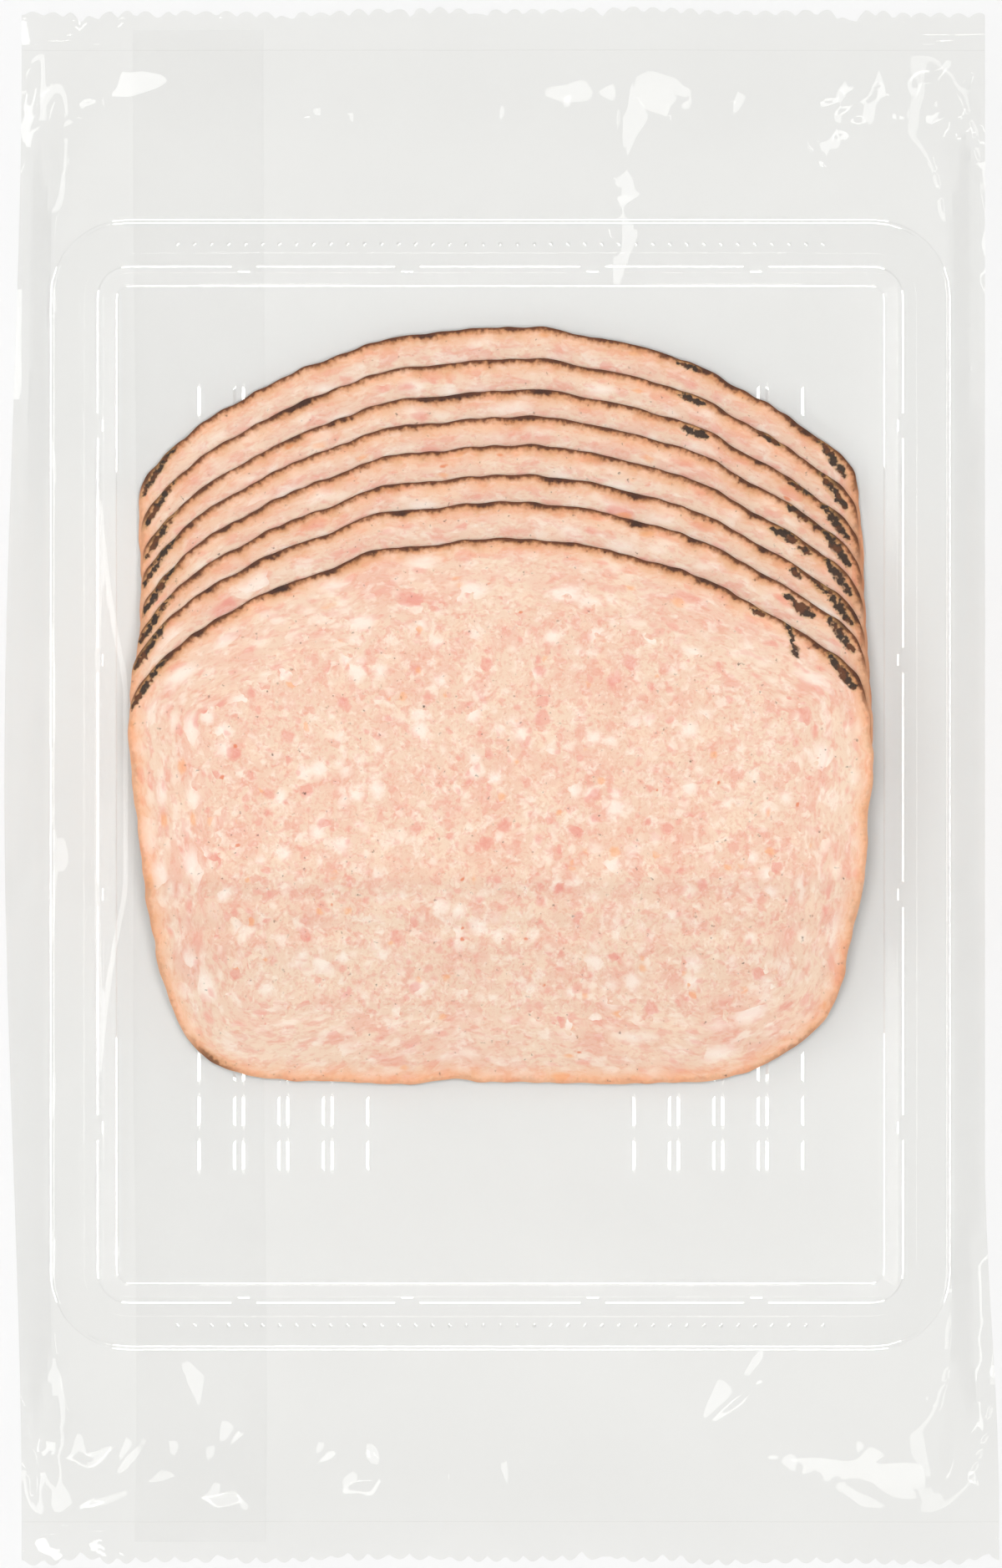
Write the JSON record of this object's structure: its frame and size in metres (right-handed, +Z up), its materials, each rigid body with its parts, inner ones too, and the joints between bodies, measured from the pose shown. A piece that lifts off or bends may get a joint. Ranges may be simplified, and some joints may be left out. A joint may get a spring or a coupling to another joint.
{
  "type": "pack of sliced meatloaf",
  "caption": "Clear flow-wrapped pack lying flat: shingled baked meatloaf slices on a clear ribbed tray inside a sealed film bag with serrated ends.",
  "frame": {"origin": "under the middle of the pack, on the plane that the flat tray floor rests on", "axes": "+X across the pack to the right of the picture, +Y along it towards the end seal at the top of the picture, +Z up out of the shown side"},
  "size_m": [0.149, 0.233, 0.0195],
  "materials": {
    "clear_film": "thin clear packing film, glossy, pale grey where it is doubled, with crimped ends",
    "clear_tray": "thermoformed clear sheet, glossy, with bright rounded edges",
    "baked_meat": "moist pink ground meat with pale fat flecks, browned and charred along the crust"
  },
  "bodies": {
    "root": {"film_pack": "clear_film"}
  },
  "joints": []
}
